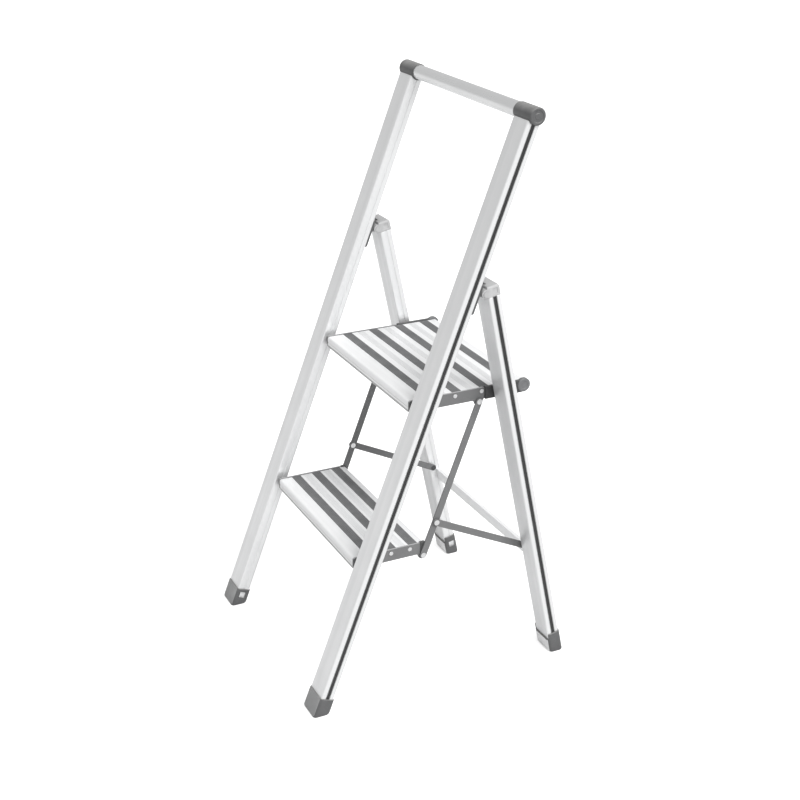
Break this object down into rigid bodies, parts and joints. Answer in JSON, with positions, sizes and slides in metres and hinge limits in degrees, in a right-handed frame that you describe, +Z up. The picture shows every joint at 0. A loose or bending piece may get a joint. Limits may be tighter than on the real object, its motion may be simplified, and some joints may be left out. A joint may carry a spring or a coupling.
{
  "type": "folding step ladder",
  "caption": "Folding aluminium step ladder: leaning front frame with grab bar, hinged rear legs, and hinged treads with grip strips that fold flat into the frame.",
  "frame": {"origin": "middle of the footprint on the floor, standing open", "axes": "+Z up, -Y towards the user climbing on (front), +X to the user's right when facing the steps"},
  "size_m": [0.43, 0.461, 0.9337],
  "materials": {
    "aluminium": "satin anodised, brushed along the profiles",
    "bright_steel": "plated rivets and pins",
    "dark_steel": "dark grey powder coat",
    "dark_plastic": "fine-grained dark grey moulding",
    "grey_plastic": "fine-grained mid grey moulding",
    "strip": "ribbed grey anti-slip strip"
  },
  "bodies": {
    "front_frame": {"top_bar": "aluminium", "left_stile": "aluminium", "left_top_cap": "dark_plastic", "left_front_foot": "dark_plastic", "left_hinge_bracket": "dark_plastic", "left_hinge_pin": "bright_steel", "right_stile": "aluminium", "right_top_cap": "dark_plastic", "right_front_foot": "dark_plastic", "right_hinge_bracket": "dark_plastic", "right_hinge_pin": "bright_steel"},
    "rear_frame": {"rear_crossbar": "aluminium", "left_rear_leg": "aluminium", "left_leg_cap": "grey_plastic", "left_rear_foot": "dark_plastic", "left_strut_pin": "bright_steel", "right_rear_leg": "aluminium", "right_leg_cap": "grey_plastic", "right_rear_foot": "dark_plastic", "right_strut_pin": "bright_steel"},
    "upper_step": {"upper_tread": "aluminium", "upper_strip_1": "strip", "upper_strip_2": "strip", "upper_strip_3": "strip", "upper_strip_4": "strip", "left_upper_plate": "dark_steel", "left_upper_pivot_pin": "bright_steel", "left_upper_link_pin": "bright_steel", "left_upper_end_cap": "dark_plastic", "right_upper_plate": "dark_steel", "right_upper_pivot_pin": "bright_steel", "right_upper_link_pin": "bright_steel", "right_upper_end_cap": "dark_plastic"},
    "lower_step": {"lower_tread": "aluminium", "lower_strip_1": "strip", "lower_strip_2": "strip", "lower_strip_3": "strip", "left_lower_plate": "dark_steel", "left_lower_pivot_pin": "bright_steel", "left_lower_link_pin": "bright_steel", "right_lower_plate": "dark_steel", "right_lower_pivot_pin": "bright_steel", "right_lower_link_pin": "bright_steel"},
    "left_link_arm": {"left_link": "dark_steel", "left_link_rivet": "bright_steel"},
    "left_strut_arm": {"left_strut": "dark_steel", "left_strut_rivet": "bright_steel"},
    "right_link_arm": {"right_link": "dark_steel", "right_link_rivet": "bright_steel"},
    "right_strut_arm": {"right_strut": "dark_steel", "right_strut_rivet": "bright_steel"}
  },
  "joints": [
    {"name": "rear_fold", "type": "hinge", "parent": "front_frame", "child": "rear_frame", "pos_m": [0, 0.06455, 0.66188], "axis": [-1, 0, 0], "range_deg": [0, 33.07]},
    {"name": "upper_step_fold", "type": "hinge", "parent": "front_frame", "child": "upper_step", "pos_m": [0, -0.03039, 0.477], "axis": [1, 0, 0], "range_deg": [0, 68.85]},
    {"name": "lower_step_fold", "type": "hinge", "parent": "front_frame", "child": "lower_step", "pos_m": [0, -0.1271, 0.227], "axis": [1, 0, 0], "range_deg": [0, 68.85]},
    {"name": "left_link_fold", "type": "hinge", "parent": "upper_step", "child": "left_link_arm", "pos_m": [0, 0.08411, 0.4672], "axis": [-1, 0, 0], "range_deg": [0, 68.85]},
    {"name": "left_strut_fold", "type": "hinge", "parent": "rear_frame", "child": "left_strut_arm", "pos_m": [0, 0.17221, 0.19301], "axis": [-1, 0, 0], "range_deg": [0, 45.48]},
    {"name": "right_link_fold", "type": "hinge", "parent": "upper_step", "child": "right_link_arm", "pos_m": [0, 0.08411, 0.4672], "axis": [-1, 0, 0], "range_deg": [0, 68.85]},
    {"name": "right_strut_fold", "type": "hinge", "parent": "rear_frame", "child": "right_strut_arm", "pos_m": [0, 0.17221, 0.19301], "axis": [-1, 0, 0], "range_deg": [0, 45.48]}
  ],
  "couplings": [
    {"joint": "upper_step_fold", "follows": "rear_fold", "ratio": 2.0819},
    {"joint": "lower_step_fold", "follows": "rear_fold", "ratio": 2.0819},
    {"joint": "left_link_fold", "follows": "rear_fold", "ratio": 2.0819},
    {"joint": "left_strut_fold", "follows": "rear_fold", "ratio": 1.3753},
    {"joint": "right_link_fold", "follows": "rear_fold", "ratio": 2.0819},
    {"joint": "right_strut_fold", "follows": "rear_fold", "ratio": 1.3753}
  ]
}
